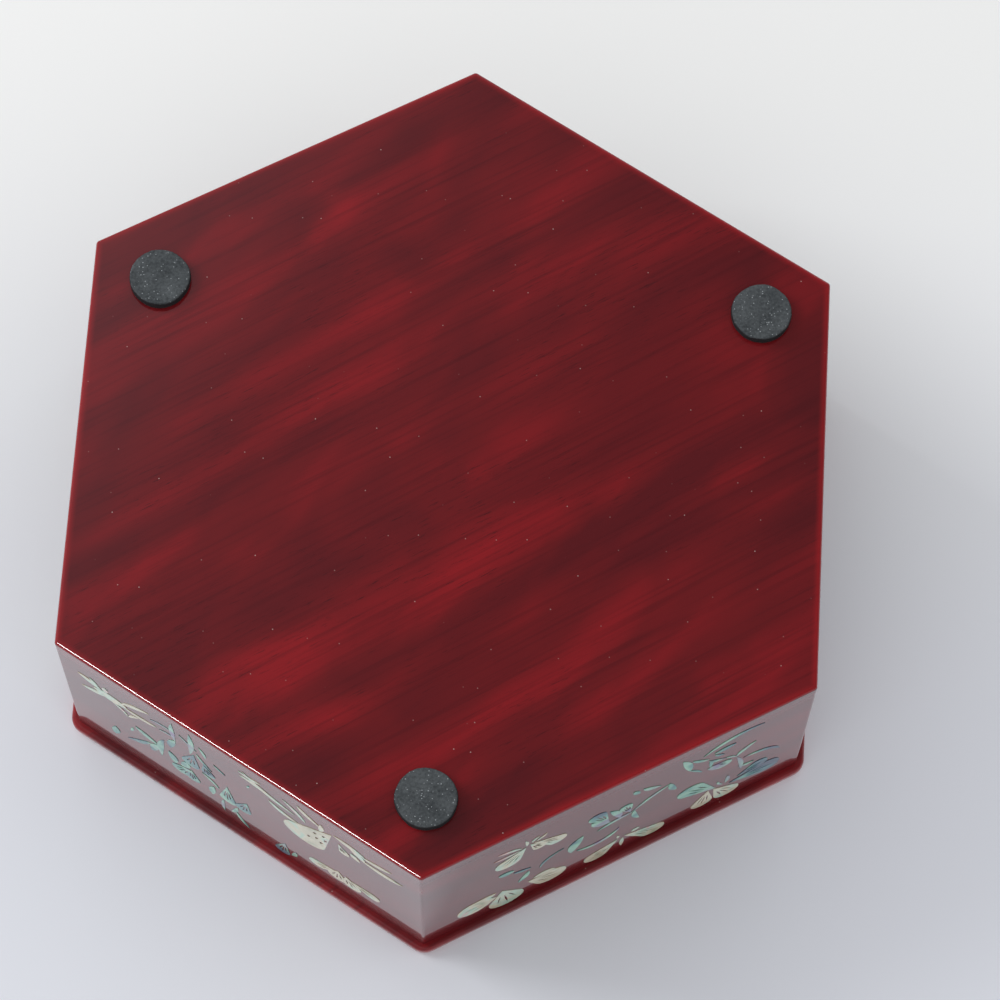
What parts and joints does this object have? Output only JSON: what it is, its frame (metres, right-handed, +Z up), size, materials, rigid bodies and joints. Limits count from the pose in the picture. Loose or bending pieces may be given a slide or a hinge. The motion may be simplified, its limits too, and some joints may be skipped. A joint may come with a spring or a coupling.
{
  "type": "hexagonal lacquered box",
  "caption": "Hexagonal lacquered wooden box with shell inlay, a lift-off lid that overhangs its walls, a lift-out inner tray on ledges and foam foot pads.",
  "frame": {"origin": "middle of the plane that the feet stand on, under the box's middle", "axes": "+Z up through the lid; two walls face +X and -X; a corner between walls lies on -Y, over the front foot, and one on +Y"},
  "size_m": [0.184, 0.211, 0.0678],
  "materials": {
    "red_lacquer": "gloss",
    "inner_lacquer": "satin",
    "white_shell": "gloss",
    "green_shell": "gloss",
    "foam": "matte"
  },
  "bodies": {
    "box": {"bottom_panel": "red_lacquer", "right_wall": "red_lacquer", "back_right_wall": "red_lacquer", "back_left_wall": "red_lacquer", "left_wall": "red_lacquer", "front_left_wall": "red_lacquer", "front_right_wall": "red_lacquer", "right_tray_ledge": "inner_lacquer", "back_right_tray_ledge": "inner_lacquer", "back_left_tray_ledge": "inner_lacquer", "left_tray_ledge": "inner_lacquer", "front_left_tray_ledge": "inner_lacquer", "front_right_tray_ledge": "inner_lacquer", "right_foot_pad": "foam", "left_foot_pad": "foam", "front_foot_pad": "foam", "right_white_shell": "white_shell", "back_right_white_shell": "white_shell", "back_left_white_shell": "white_shell", "left_white_shell": "white_shell", "front_left_white_shell": "white_shell", "front_right_white_shell": "white_shell", "right_green_shell": "green_shell", "back_right_green_shell": "green_shell", "back_left_green_shell": "green_shell", "left_green_shell": "green_shell", "front_left_green_shell": "green_shell", "front_right_green_shell": "green_shell"},
    "tray": {"tray_floor": "inner_lacquer", "tray_right_side": "inner_lacquer", "tray_back_right_side": "inner_lacquer", "tray_back_left_side": "inner_lacquer", "tray_left_side": "inner_lacquer", "tray_front_left_side": "inner_lacquer", "tray_front_right_side": "inner_lacquer"},
    "lid": {"lid_panel": "red_lacquer", "lid_right_batten": "inner_lacquer", "lid_back_right_batten": "inner_lacquer", "lid_back_left_batten": "inner_lacquer", "lid_left_batten": "inner_lacquer", "lid_front_left_batten": "inner_lacquer", "lid_front_right_batten": "inner_lacquer", "lid_flower_shell": "white_shell", "lid_leaf_shell": "green_shell", "lid_butterfly_shell": "green_shell", "lid_border_shell": "white_shell"}
  },
  "joints": [
    {"name": "tray_lift", "type": "slide", "parent": "box", "child": "tray", "axis": [0, 0, 1], "range_m": [0, 0.045]},
    {"name": "lid_lift", "type": "slide", "parent": "tray", "child": "lid", "axis": [0, 0, 1], "range_m": [0, 0.045]}
  ]
}
